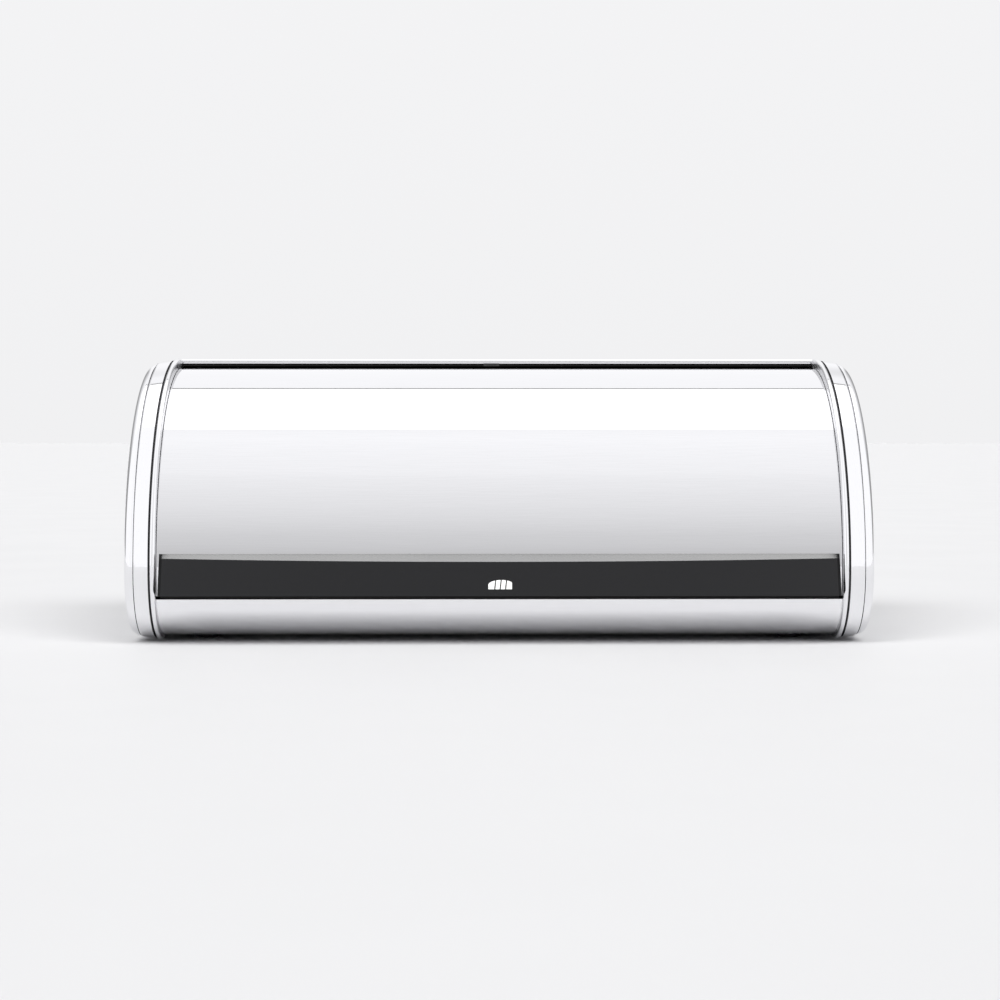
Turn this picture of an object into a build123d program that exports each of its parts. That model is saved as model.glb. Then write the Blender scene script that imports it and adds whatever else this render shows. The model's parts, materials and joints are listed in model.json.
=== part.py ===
from build123d import *
import os

# Bread bin with a roll-back lid. Millimetres. X runs along the bin, the front faces -Y, +Z is up.
# The origin is on the surface that the feet stand on, in the middle of the bin.

# ---- driving dimensions ----
width = 445.0
depth = 262.0
height = 174.0
sheet = 0.5  # stainless sheet, everywhere

# side profile of the end caps
outline_radius = 131.0  # the front and top arc, about the lid's pivot
handle_proud = 4.5  # how far the handle's nose stands in front of that arc
sole_gap = 0.4  # the end caps clear the worktop by this, so the rubber feet carry the bin
back_bottom_radius = 20.0
back_top_radius = 28.0
back_y = depth / 2
pivot_y = outline_radius + handle_proud - back_y
pivot_z = height - outline_radius
front_radius = pivot_z - sole_gap  # lower front corner
front_centre_y = pivot_y - outline_radius + front_radius

# bands of an end cap, as distances from the middle of the bin
bead_in, bead_out = 203.6, 206.8
cover_in, step_x, cover_out = 207.8, 216.8, width / 2
bead_crown = 1.5  # rounding of the bead
bead_depth = 9.0  # how far the bead's walls reach inwards from the outline
groove_inset = 2.8  # the dark groove, below the outline
band_inset, band_rounding = 0.8, 1.8  # wide middle band
band_slope = 0.13  # a drawn cup tapers: how much further in the band lies per millimetre outwards
cap_inset, cap_rounding = 3.0, 4.5  # smaller outer band

# body shell
shell_bottom_inset = 3.0
shell_back_inset = 0.9
shell_top = height - 0.4
shell_corner_bottom, shell_corner_top = 16.0, 27.0
lip_top = 27.3
lip_hem = 6.0
top_front_y = pivot_y - 3.0
top_hem_height, top_hem_depth = 3.2, 8.0

# lid
lid_radius = 125.0
lid_low, lid_high = -6.3, 97.0  # degrees above the front horizontal, about the pivot
lid_half = 203.3
open_angle = 76.0

# side panels, arms and pivots
panel_in, panel_out = bead_in + sheet, bead_out - sheet
panel_inset = 2.0
ledge_in, ledge_thick = 190.0, 2.0
arm_in, arm_out = 198.8, 201.0
arm_low, arm_high = -3.0, 92.5
rim_in, rim_thick = 187.0, 2.0
pin_radius, running_gap = 4.0, 0.05
bush_radius, bush_flange_radius, bush_flange = 6.5, 9.0, 0.8
collar_radius = 6.5
boss_radius, boss_out = 10.0, 213.0
pin_in, pin_out = 195.8, 212.5
clip_in, clip_out, clip_groove_radius = 197.0, 197.6, 3.2
clip_radius, clip_mouth = 6.6, 4.4

# fasteners
screw_radius, screw_head_radius, screw_head = 1.5, 3.0, 1.6
low_head = 0.8  # the screws at the back are flat enough to stay inside the end caps
hole_slack = 0.3
rivet_radius, rivet_head_radius, rivet_head = 1.2, 2.4, 0.4

pivot = Axis((0, pivot_y, pivot_z), (-1, 0, 0))  # turning about it lifts the lid

os.makedirs("parts", exist_ok=True)


# ---- helpers ----
def slab(face, x0, x1):
    """A face drawn with Y and Z, made solid from x0 to x1."""
    return extrude(Plane.YZ.offset(x0) * face, amount=x1 - x0)


def outline(inset):
    """The end cap's side profile, this far inside its outermost line."""
    low, high = sole_gap + inset, height - inset
    back = back_y - inset
    bottom_centre = (back_y - back_bottom_radius, sole_gap + back_bottom_radius)
    top_centre = (back_y - back_top_radius, height - back_top_radius)
    edges = [
        CenterArc((pivot_y, pivot_z), outline_radius - inset, 90, 90),
        CenterArc((front_centre_y, pivot_z), front_radius - inset, 180, 90),
        Line((front_centre_y, low), (bottom_centre[0], low)),
        CenterArc(bottom_centre, back_bottom_radius - inset, 270, 90),
        Line((back, bottom_centre[1]), (back, top_centre[1])),
        CenterArc(top_centre, back_top_radius - inset, 0, 90),
        Line((top_centre[0], high), (pivot_y, high)),
    ]
    return make_face(edges)


def shell_loop(inset):
    """The body shell's profile before its mouth is cut, this far inside its outer face."""
    low = sole_gap + shell_bottom_inset + inset
    back = back_y - shell_back_inset - inset
    high = shell_top - inset
    arc = front_radius - shell_bottom_inset - inset
    front = front_centre_y - arc
    r_low, r_high = shell_corner_bottom - inset, shell_corner_top - inset
    edges = [
        CenterArc((front_centre_y, pivot_z), arc, 180, 90),
        Line((front_centre_y, low), (back - r_low, low)),
        CenterArc((back - r_low, low + r_low), r_low, 270, 90),
        Line((back, low + r_low), (back, high - r_high)),
        CenterArc((back - r_high, high - r_high), r_high, 0, 90),
        Line((back - r_high, high), (front, high)),
        Line((front, high), (front, pivot_z)),
    ]
    return make_face(edges)


def block(y0, y1, z0, z1):
    """A rectangle drawn with Y and Z."""
    return Pos((y0 + y1) / 2, (z0 + z1) / 2) * Rectangle(y1 - y0, z1 - z0)


def sector(r0, r1, low, high, x0, x1):
    """A curved plate about the pivot between two angles above the front horizontal."""
    start = 180 - high
    size = high - low
    inner = CenterArc((pivot_y, pivot_z), r0, start, size)
    outer = CenterArc((pivot_y, pivot_z), r1, start, size)
    sides = [Line(inner @ 0, outer @ 0), Line(inner @ 1, outer @ 1)]
    return slab(make_face([inner, outer, *sides]), x0, x1)


def rod(radius, x0, x1, y=pivot_y, z=pivot_z):
    """A round bar along X."""
    return slab(Pos(y, z) * Circle(radius), x0, x1)


def raised(angle, shape):
    """A shape drawn at the front horizontal, carried round the pivot to this angle."""
    return shape.rotate(pivot, angle)


def studs(radius, y0, y1, places):
    """Round bars along Y at these (x, z) places."""
    bars = [Pos(x, y0, z) * extrude(Plane.XZ * Circle(radius), amount=y0 - y1) for x, z in places]
    return bars


def both_sides(name, right):
    """Writes a part of the right-hand end, and its mirror image for the left-hand end."""
    save(name + "_right", right)
    save(name + "_left", mirror(right, about=Plane.YZ))


def save(name, shape):
    solids = shape if isinstance(shape, list) else shape.solids()
    export_step(Compound(children=list(solids)), f"parts/{name}.step")
    print(name, len(solids), "solids,", round(sum(s.volume for s in solids) / 1000, 2), "cm3")


# ---- body shell: lip, base, back and top, one sheet ----
shell_low = sole_gap + shell_bottom_inset
shell_back = back_y - shell_back_inset
hem_low = shell_top - top_hem_height
mouth = block(-depth, top_front_y, lip_top, height + 10)
screw_x = 196.5
base_screws = [(x, y) for x in (-screw_x, screw_x) for y in (-50.0, 25.0, 92.0)]
back_screws = [(x, 120.0) for x in (-screw_x, screw_x)]


def body_shell():
    sheet_face = shell_loop(0) - shell_loop(sheet) - mouth
    fold = shell_loop(sheet) - shell_loop(2 * sheet)
    lip_fold = fold & block(-depth, front_centre_y, lip_top - lip_hem, lip_top)
    hem_front = block(top_front_y, top_front_y + sheet, hem_low, shell_top)
    hem_under = block(top_front_y, top_front_y + top_hem_depth, hem_low, hem_low + sheet)
    shell = slab(sheet_face + lip_fold + hem_front + hem_under, -bead_in, bead_in)
    hole = screw_radius + hole_slack
    for x, y in base_screws:
        shell -= Pos(x, y, shell_low) * Cylinder(hole, 4)
    return shell - studs(hole, shell_back + 2, shell_back - 2, back_screws)


def shell_screws():
    """Pan-head screws from below and behind, into the side panels' bosses."""
    screws = []
    for x, y in base_screws:
        head = Pos(x, y, shell_low - screw_head / 2) * Cylinder(screw_head_radius, screw_head)
        shank = Pos(x, y, shell_low + 3) * Cylinder(screw_radius, 6)
        screws.append(head + shank)
    for place in back_screws:
        head = studs(screw_head_radius, shell_back + low_head, shell_back, [place])[0]
        shank = studs(screw_radius, shell_back, shell_back - 6, [place])[0]
        screws.append(head + shank)
    return screws


# ---- black strip under the hem, and its clip ----
strip_low = hem_low - 1.3
clip_middle, clip_half = -4.0, 5.0


def top_edge_strip():
    strip = slab(block(top_front_y + 0.6, top_front_y + 12, strip_low, hem_low), -bead_in, bead_in)
    notch = Pos(clip_middle, top_front_y, hem_low) * Box(2 * clip_half + 0.4, 14, 8)
    return strip - notch


def centre_clip():
    """A moulded clip that locks the strip into the hem."""
    face = slab(block(top_front_y + 0.3, top_front_y + 6.8, strip_low + 0.1, hem_low), -clip_half, clip_half)
    slot = slab(block(top_front_y - 1, top_front_y + 1.2, strip_low + 0.5, hem_low - 0.4), -3.4, 3.4)
    return Pos(clip_middle, 0, 0) * (face - slot)


# ---- side panel, with its ledges and bosses ----
carrier_screws_at = [(-78.0, 40.0), (-40.0, 128.0), (88.0, 128.0), (88.0, 40.0)]
ledge_clear = 2.0  # the ledges stay this far outside the lid's outer face


def side_panel():
    plate = slab(outline(panel_inset), panel_in, panel_out)
    swept = Pos(pivot_y, pivot_z) * Circle(lid_radius + ledge_clear)
    swept = swept & block(-depth, depth, lip_top - 1, height)
    ledge_face = shell_loop(sheet) - shell_loop(sheet + ledge_thick) - swept
    ledge_face -= block(-depth, top_front_y + top_hem_depth + 6, lip_top - lip_hem - 0.5, height)
    panel = plate + slab(ledge_face, ledge_in, panel_in)
    for y, z in carrier_screws_at:
        panel += rod(5.0, panel_out, bead_out, y, z)
        panel -= rod(screw_radius, panel_in + 0.8, bead_out, y, z)
    panel += rod(boss_radius, panel_out, boss_out)
    panel -= rod(pin_radius, panel_in, pin_out)
    inside = shell_low + sheet
    for x, y in base_screws[3:]:
        panel += Pos(x, y, inside + 3.5) * Cylinder(4.0, 7)
        panel -= Pos(x, y, inside + 2.75) * Cylinder(screw_radius, 5.5)
    x, z = back_screws[1]
    panel += studs(4.0, shell_back - sheet, shell_back - sheet - 7, [(x, z)])
    return panel - studs(screw_radius, shell_back - sheet, shell_back - 6, [(x, z)])


# ---- trim bead: a rounded channel over the panel's edge ----
def rounded_slab(inset, x0, x1, rounding, both=False):
    """An end cap's band, rounded along its outer edge, or along both edges."""
    band = slab(outline(inset), x0, x1)
    ends = band.faces().sort_by(Axis.X)
    edges = ends[-1].edges() + (ends[0].edges() if both else [])
    return fillet(edges, rounding)


def trim_bead():
    bead = rounded_slab(0, bead_in, bead_out, bead_crown, both=True)
    channel = rounded_slab(sheet, panel_in, panel_out, bead_crown - sheet, both=True)
    return bead - channel - slab(outline(bead_depth), bead_in, bead_out)


# ---- cap carrier: black moulding under the end cover ----
carrier_plate = 2.0
cover_wall_inset = band_inset + sheet


def tapered(inset, x0, x1):
    """A band that starts this far inside the outline at x0 and draws in at the cup's slope."""
    near = Plane.YZ.offset(x0) * outline(inset)
    far = Plane.YZ.offset(x1) * outline(inset + band_slope * (x1 - x0))
    return loft([near, far], ruled=True)


def cap_carrier():
    carrier = slab(outline(groove_inset), bead_out, cover_in + 1.0)
    rim = tapered(cover_wall_inset, cover_in, step_x - 2.5)
    carrier += rim - slab(outline(cover_wall_inset + 3.2), cover_in, step_x - 2.5)
    carrier -= rod(boss_radius + 0.5, bead_out, cover_in + 2)
    for y, z in carrier_screws_at:
        carrier -= rod(screw_radius + hole_slack, bead_out, cover_in + 2, y, z)
    return carrier


def carrier_screws():
    """Four in each end, driven from outside before the cover goes on."""
    seat = cover_in + 1.0
    screws = []
    for y, z in carrier_screws_at:
        head = rod(screw_head_radius, seat, seat + screw_head, y, z)
        screw = head + rod(screw_radius, panel_in + 1.2, seat, y, z)
        screws += [screw, mirror(screw, about=Plane.YZ)]
    return screws


# ---- end cover: stepped, deep-drawn sheet ----
def rounded_band(inset, x0, x1, rounding):
    band = tapered(inset, x0, x1)
    return fillet(band.faces().sort_by(Axis.X)[-1].edges(), rounding)


def end_cover():
    outside = rounded_band(band_inset, cover_in, step_x, band_rounding)
    outside += rounded_slab(cap_inset, cover_in, cover_out, cap_rounding)
    inside = rounded_band(cover_wall_inset, cover_in, step_x - sheet, band_rounding - sheet)
    inside += rounded_slab(cap_inset + sheet, cover_in, cover_out - sheet, cap_rounding - sheet)
    return outside - inside


# ---- pivot pin, bush and retaining clip ----
groove_slack = 0.1


def pivot_pin():
    pin = rod(pin_radius, pin_in, pin_out) + rod(collar_radius, arm_out + 0.2, panel_in)
    pin = chamfer(pin.faces().sort_by(Axis.X)[0].edges(), 0.6)
    ring = rod(pin_radius + 1, clip_in - groove_slack, clip_out + groove_slack)
    return pin - (ring - rod(clip_groove_radius, clip_in - 1, clip_out + 1))


def retaining_clip():
    ring = rod(clip_radius, clip_in, clip_out) - rod(clip_groove_radius, clip_in, clip_out)
    mouth_face = block(pivot_y - clip_radius - 1, pivot_y, pivot_z - clip_mouth / 2, pivot_z + clip_mouth / 2)
    return ring - slab(mouth_face, clip_in, clip_out)


def pivot_bush():
    bush = rod(bush_radius, arm_in, arm_out) + rod(bush_flange_radius, arm_in - bush_flange, arm_in)
    return bush - rod(pin_radius + running_gap, arm_in - bush_flange, arm_out)


# ---- rubber: stop buffers and feet ----
stop_gap, stop_thick, stop_near, stop_far = 0.3, 6.0, 80.0, 96.0
foot_radius, foot_x = 7.0, 180.0
feet_y = (-62.0, 100.0)


def stop_buffers():
    """Blocks on the side panels that the arms' straight edges come to rest against."""
    near, far = pivot_y - stop_near, pivot_y - stop_far
    closed = slab(block(far, near, pivot_z - stop_gap - stop_thick, pivot_z - stop_gap), arm_in + 0.6, panel_in)
    opened = slab(block(far, near, pivot_z + stop_gap, pivot_z + stop_gap + stop_thick), arm_in + 0.6, panel_in)
    right = [raised(arm_low, closed), raised(arm_high + open_angle, opened)]
    return right + [mirror(stop, about=Plane.YZ) for stop in right]


def foot_pads():
    pad = Cylinder(foot_radius, shell_low, align=(Align.CENTER, Align.CENTER, Align.MIN))
    pad = fillet(pad.edges().sort_by(Axis.Z)[0], 1.0)
    return [Pos(x, y, 0) * pad for x in (-foot_x, foot_x) for y in feet_y]


# ---- lid, arms, handle and rear strip ----
lid_inner = lid_radius - sheet
handle_screws_x = (-193.0, -115.0, -38.0, 38.0, 115.0, 193.0)
handle_screw_slack = 0.05  # a flat head on the curved sheet touches it at the middle only
rear_rivets_x = (-170.0, -85.0, 0.0, 85.0, 170.0)
arm_rivet_x, arm_rivet_angle, strip_rivet_angle = 193.0, 90.4, 95.0
strip_low_angle, strip_lip, strip_high_angle = 93.0, 97.1, 97.9
strip_thick = 2.0


def lid_holes(slack):
    """The screws and rivets that cross the lid's sheet, as bars to cut with."""
    front = pivot_y - lid_radius
    bars = studs(screw_radius + slack, front + 12, front - 1, [(x, pivot_z) for x in handle_screws_x])
    crossing = studs(rivet_radius, front + 8, front - 1, [(x, pivot_z) for x in rear_rivets_x])
    bars += [raised(strip_rivet_angle, bar) for bar in crossing]
    crossing = studs(rivet_radius, front + 8, front - 1, [(x, pivot_z) for x in (-arm_rivet_x, arm_rivet_x)])
    return bars + [raised(arm_rivet_angle, bar) for bar in crossing]


def lid_panel():
    return sector(lid_inner, lid_radius, lid_low, lid_high, -lid_half, lid_half) - lid_holes(hole_slack)


def lid_arm():
    """A quarter-disc plate with a hub, and a rim that the lid's sheet is bonded to."""
    centre = (pivot_y, pivot_z)
    arc = CenterArc(centre, lid_inner, 180 - arm_high, arm_high - arm_low)
    arm = slab(make_face([arc, Line(arc @ 0, centre), Line(arc @ 1, centre)]), arm_in, arm_out)
    arm += rod(15.0, arm_in, arm_out)
    arm += sector(lid_inner - rim_thick, lid_inner, arm_low, arm_high, rim_in, arm_in)
    return arm - rod(bush_radius, arm_in, arm_out) - lid_holes(hole_slack)


# handle section, Y and Z: a wedge that leans out to its lower edge
handle_top, handle_face_top, handle_low, flange_low = 54.3, 49.8, 29.9, 28.2
handle_half = 201.7
nose_rounding = 0.8
nose_y = -depth / 2 - 0.41 * nose_rounding  # the rounding takes this much off the sharp corner
face_top_y, flange_y = -125.2, -122.4
end_rise = 1.9  # the face reaches this much higher at the handle's ends
handle_wall = 2.4


def handle_section(rise):
    """The wedge's outline; its back is cut to the lid's curve afterwards."""
    lean = (face_top_y - nose_y) / (handle_face_top - handle_low)
    deep = pivot_y - lid_radius + 8
    top_y = pivot_y - (lid_radius**2 - (handle_top - pivot_z) ** 2) ** 0.5
    points = [
        (deep, handle_top),
        (top_y, handle_top),
        (face_top_y + lean * rise, handle_face_top + rise),
        (nose_y, handle_low),
        (flange_y, handle_low),
        (flange_y, flange_low),
        (deep, flange_low),
    ]
    return make_face(Polyline(*points, close=True))


def handle():
    places = ((-handle_half, end_rise), (0, 0), (handle_half, end_rise))
    grip = loft([Plane.YZ.offset(x) * handle_section(rise) for x, rise in places])
    nose = grip.edges().sort_by(Axis.Y)[0]
    grip = fillet(nose, nose_rounding)
    grip -= rod(lid_radius, -width, width)
    deep = pivot_y - lid_radius + 8
    core_points = [(deep, 49.6), (-122.6, 48.0), (-127.6, 32.4), (deep, 32.4)]
    core = make_face(Polyline(*core_points, close=True))
    for left, right in zip(handle_screws_x, handle_screws_x[1:]):
        grip -= slab(core, left + 5, right - 5)
    front = pivot_y - lid_radius
    return grip - studs(screw_radius, front + 4, front - 4.5, [(x, pivot_z) for x in handle_screws_x])


def handle_screws():
    """Driven from inside; the outer two also hold the arms' rims."""
    screws = []
    for x in handle_screws_x:
        seat = pivot_y - lid_inner + (rim_thick if abs(x) > rim_in else 0) + handle_screw_slack
        head = studs(screw_head_radius, seat + screw_head, seat, [(x, pivot_z)])[0]
        shank = studs(screw_radius, seat, pivot_y - lid_radius - 4.0, [(x, pivot_z)])[0]
        screws.append(head + shank)
    return screws


def rear_edge_strip():
    strip = sector(lid_inner - strip_thick, lid_inner, strip_low_angle, strip_lip, -rim_in - 12, rim_in + 12)
    lip = sector(lid_inner - strip_thick, lid_radius, strip_lip, strip_high_angle, -rim_in - 12, rim_in + 12)
    return strip + lip - lid_holes(0)


def rivets(angle, places, inner):
    """Round-headed rivets through the lid's sheet, at this angle."""
    made = []
    for x in places:
        outer = pivot_y - lid_radius - handle_screw_slack / 10
        inside = pivot_y - inner + handle_screw_slack
        head = studs(rivet_head_radius, outer, outer - rivet_head, [(x, pivot_z)])[0]
        shank = studs(rivet_radius, inside, outer, [(x, pivot_z)])[0]
        tail = studs(rivet_head_radius, inside + rivet_head, inside, [(x, pivot_z)])[0]
        made.append(raised(angle, head + shank + tail))
    return made


save("body_shell", body_shell())
save("shell_screws", shell_screws())
save("top_edge_strip", top_edge_strip())
save("centre_clip", centre_clip())
both_sides("side_panel", side_panel())
both_sides("trim_bead", trim_bead())
both_sides("cap_carrier", cap_carrier())
save("carrier_screws", carrier_screws())
both_sides("end_cover", end_cover())
both_sides("pivot_pin", pivot_pin())
both_sides("retaining_clip", retaining_clip())
save("stop_buffers", stop_buffers())
save("foot_pads", foot_pads())
save("lid_panel", lid_panel())
both_sides("lid_arm", lid_arm())
both_sides("pivot_bush", pivot_bush())
save("handle", handle())
save("handle_screws", handle_screws())
save("rear_edge_strip", rear_edge_strip())
save("rear_strip_rivets", rivets(strip_rivet_angle, rear_rivets_x, lid_inner - strip_thick))
save("arm_rivets", rivets(arm_rivet_angle, (-arm_rivet_x, arm_rivet_x), lid_inner - rim_thick))
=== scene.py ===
# %% [markdown]
# # A roll-top bread bin in polished steel
#
# The bin is a wrap of thin stainless sheet between two stepped end caps. A curved lid of the same
# sheet turns about an axle low inside the bin and rolls up under the flat top. A black moulded
# handle runs the whole width of the lid. This lesson loads the mechanical model, makes finer
# meshes for the pieces that show, and gives every piece a finish that behaves like the real one.
#
# The first cell loads the mechanical model as a fixed frame. All sizes come from it.

# %% The frame
import json
import math

import bmesh
import bpy
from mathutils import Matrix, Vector


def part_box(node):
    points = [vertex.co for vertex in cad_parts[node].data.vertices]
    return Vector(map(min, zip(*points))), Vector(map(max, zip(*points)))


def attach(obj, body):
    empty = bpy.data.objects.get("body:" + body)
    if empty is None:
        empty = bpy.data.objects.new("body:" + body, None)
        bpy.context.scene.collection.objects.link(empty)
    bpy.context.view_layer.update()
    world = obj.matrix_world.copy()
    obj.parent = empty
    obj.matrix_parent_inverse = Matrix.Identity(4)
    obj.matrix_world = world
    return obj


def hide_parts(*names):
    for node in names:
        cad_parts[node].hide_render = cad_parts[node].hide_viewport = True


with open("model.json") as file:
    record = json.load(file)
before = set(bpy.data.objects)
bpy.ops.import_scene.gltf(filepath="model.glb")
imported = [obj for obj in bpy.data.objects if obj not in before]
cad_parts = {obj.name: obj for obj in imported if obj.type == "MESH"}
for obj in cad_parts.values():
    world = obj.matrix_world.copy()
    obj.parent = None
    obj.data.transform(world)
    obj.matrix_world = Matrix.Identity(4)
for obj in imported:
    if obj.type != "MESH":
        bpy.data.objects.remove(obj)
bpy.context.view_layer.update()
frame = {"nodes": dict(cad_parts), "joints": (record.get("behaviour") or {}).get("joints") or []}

nodes = frame["nodes"]
lid_joint = frame["joints"][0]

# %% [markdown]
# ## Working in millimetres
#
# Sheet metal is drawn in millimetres, so the shapes below are too, and they are scaled when a mesh
# is made. The places of the bands, the axle and the sheets are read from the frame's boxes. Only
# roundings and wall thicknesses, which a box can't say, are named values here.

# %% Sizes
MM = 0.001


def span(node, axis):
    """Lowest and highest value of a node along one axis, in millimetres."""
    low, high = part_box(node)
    return low[axis] / MM, high[axis] / MM


X, Y, Z = 0, 1, 2
sides = {"left": -1, "right": 1}  # and which way each lies along X
sheet = 0.5  # thickness of all the stainless sheet
pivot_y, pivot_z = lid_joint["pos_m"][Y] / MM, lid_joint["pos_m"][Z] / MM
bead_in, bead_out = span("trim_bead_right", X)
cover_in, cover_out = span("end_cover_right", X)
front_y, back_y = span("trim_bead_right", Y)
sole, top = span("trim_bead_right", Z)
outline_radius = top - pivot_z
front_radius = pivot_z - sole
front_centre_y = front_y + front_radius
back_bottom_radius, back_top_radius = 20.0, 28.0
print("axle at", pivot_y, pivot_z, "bead from", bead_in, "to", bead_out)

# %% [markdown]
# ## Small helpers for meshes
#
# Polished metal shows every flaw of its mesh, because a reflection bends with the surface normal.
# A bevel keeps edges from being knife sharp, and the Weighted Normal modifier lets the large faces
# decide the normals, so that flats stay flat right up to their rounded borders. The result is
# turned into a plain mesh, so nothing is left to evaluate later.

# %% Mesh helpers
def in_scene(name, data):
    """A new object in the scene, from a mesh, a lamp or a camera."""
    made = bpy.data.objects.new(name, data)
    bpy.context.scene.collection.objects.link(made)
    return made


def keep_plain(made):
    """What the modifiers make becomes the object's own mesh, and the modifiers go."""
    graph = bpy.context.evaluated_depsgraph_get()
    seen = made.evaluated_get(graph)
    plain = bpy.data.meshes.new_from_object(seen, preserve_all_data_layers=True, depsgraph=graph)
    made.modifiers.clear()
    made.data = plain
    return made


def mesh_object(name, points_mm, faces):
    """A new object from points in millimetres, its faces turned outwards."""
    mesh = bpy.data.meshes.new(name)
    mesh.from_pydata([[c * MM for c in p] for p in points_mm], [], faces)
    mesh.validate()
    work = bmesh.new()
    work.from_mesh(mesh)
    bmesh.ops.recalc_face_normals(work, faces=work.faces)
    work.to_mesh(mesh)
    work.free()
    return in_scene(name, mesh)


def settle(made, bevel_mm=0.0, segments=2, sharp_degrees=32.0):
    """Bevels if asked, weights the normals, and makes the result a plain mesh."""
    made.data.shade_smooth()
    made.data.set_sharp_from_angle(angle=math.radians(sharp_degrees))
    if bevel_mm:
        bevel = made.modifiers.new("bevel", "BEVEL")
        bevel.width = bevel_mm * MM
        bevel.segments = segments
        bevel.limit_method = "ANGLE"
        bevel.angle_limit = math.radians(sharp_degrees)
        bevel.harden_normals = False
    weighted = made.modifiers.new("weighted", "WEIGHTED_NORMAL")
    weighted.keep_sharp = True
    weighted.weight = 100
    return keep_plain(made)


def join(name, *parts):
    """One object from several, keeping their normals."""
    with bpy.context.temp_override(active_object=parts[0], selected_editable_objects=list(parts)):
        bpy.ops.object.join()
    parts[0].name = name
    return parts[0]


def arc(centre, radius, start, end, steps):
    """Points on an arc, angles in degrees."""
    turn = [math.radians(start + (end - start) * i / steps) for i in range(steps + 1)]
    return [(centre[0] + radius * math.cos(a), centre[1] + radius * math.sin(a)) for a in turn]


# %% [markdown]
# ## The end caps' outline
#
# Seen from the side, every band of an end cap has the same outline, set in by a different
# distance: a large arc about the axle from the front to the top, a small arc at the lower front
# corner, and a squared back with rounded corners. Because all arcs keep their centres, setting the
# outline in only makes each radius smaller. One function therefore draws every band.

# %% Outline
def outline(inset):
    """The side profile as points (y, z), counter-clockwise, this far inside its outermost line."""
    low_back = (back_y - back_bottom_radius, sole + back_bottom_radius)
    high_back = (back_y - back_top_radius, top - back_top_radius)
    points = arc((pivot_y, pivot_z), outline_radius - inset, 90, 180, 90)
    points += arc((front_centre_y, pivot_z), front_radius - inset, 180, 270, 40)[1:]
    points += arc(low_back, back_bottom_radius - inset, 270, 360, 20)
    points += arc(high_back, back_top_radius - inset, 0, 90, 24)
    return points


def banded(name, rings, side, closed):
    """Joins outlines at (x, inset) in order; a closed one returns to its start, others get flat ends."""
    loops = [[(side * x, y, z) for y, z in outline(inset)] for x, inset in rings]
    count = len(loops[0])
    points = [p for loop in loops for p in loop]
    faces = []
    pairs = len(loops) if closed else len(loops) - 1
    for i in range(pairs):
        a, b = i * count, (i + 1) % len(loops) * count
        for j in range(count):
            k = (j + 1) % count
            faces.append([a + j, b + j, b + k, a + k])
    if not closed:
        faces.append(list(range(count)))
        faces.append(list(range((len(loops) - 1) * count, len(loops) * count))[::-1])
    if side > 0:
        faces = [face[::-1] for face in faces]
    return mesh_object(name, points, faces)


def corner(x, inset, radius, start, end, steps=8):
    """Ring places round a corner. 0 degrees faces outwards from the outline, 90 away from the bin."""
    turn = [math.radians(start + (end - start) * i / steps) for i in range(steps + 1)]
    return [(x + radius * math.sin(a), inset - radius * math.cos(a)) for a in turn]


# %% [markdown]
# ## Trim beads
#
# A narrow channel of formed steel closes the edge of each side panel, next to the lid. Its crown
# is a half round, which draws the fine bright line between two dark ones. The channel is drawn as
# one closed loop of rings: up the inner wall, over the crown, down the outer wall, and back inside.

# %% Beads
bead_crown, bead_depth = 1.5, 9.0


def trim_bead(name, side):
    inner = bead_crown - sheet
    rings = [(bead_in, bead_depth)]
    rings += corner(bead_in + bead_crown, bead_crown, bead_crown, -90, 0)
    rings += corner(bead_out - bead_crown, bead_crown, bead_crown, 0, 90)
    rings += [(bead_out, bead_depth), (bead_out - sheet, bead_depth)]
    rings += corner(bead_out - bead_crown, bead_crown, inner, 90, 0)
    rings += corner(bead_in + bead_crown, bead_crown, inner, 0, -90)
    rings += [(bead_in + sheet, bead_depth)]
    return settle(banded(name, rings, side, True))


beads = {side: trim_bead("trim_bead_" + side + "_fine", sign) for side, sign in sides.items()}
print("bead faces:", len(beads["left"].data.polygons))

# %% [markdown]
# ## End covers
#
# Each end is a deep-drawn cup with a step: a wide middle band and a smaller outer band with a
# generous rounding. Drawn cups always taper a little, or they would not leave the die, and that
# taper decides what the bands mirror. The rings run from the inside of the flat end, out to the
# rim, and back over the outside.

# %% Covers
outer_band_width = 5.7
step_x = cover_out - outer_band_width
band_inset, band_rounding, band_slope = 0.8, 1.8, 0.13
cap_inset, cap_rounding = 3.0, 4.5
step_fillet = 0.6


def cup_rings(skin):
    """From the rim to the flat end, this far under the outer surface."""
    lean = math.degrees(math.atan(band_slope))
    far_inset = band_inset + band_slope * (step_x - band_rounding - cover_in) + band_rounding
    rings = [(cover_in, band_inset + skin)]
    rings += corner(step_x - band_rounding, far_inset, band_rounding - skin, lean, 90)
    fillet = step_fillet + skin
    centre = (step_x - skin + fillet, cap_inset + skin - fillet)
    rings += [(centre[0] - fillet * math.cos(a), centre[1] + fillet * math.sin(a))
              for a in (math.radians(90 * i / 4) for i in range(5))]
    rings += corner(cover_out - cap_rounding, cap_inset + cap_rounding, cap_rounding - skin, 0, 90, 12)
    return rings


def end_cover(name, side):
    rings = cup_rings(sheet)[::-1] + cup_rings(0.0)
    return settle(banded(name, rings, side, False))


covers = {side: end_cover("end_cover_" + side + "_fine", sign) for side, sign in sides.items()}
print("cover faces:", len(covers["left"].data.polygons))

# %% [markdown]
# ## Body shell
#
# Lip, base, back and top are one sheet, rolled round. Its profile is drawn once and pushed along
# the bin. The lip ends in a folded safe edge, and the front of the top in a rolled hem that
# stiffens it, so neither shows a raw edge to the hand.

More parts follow.
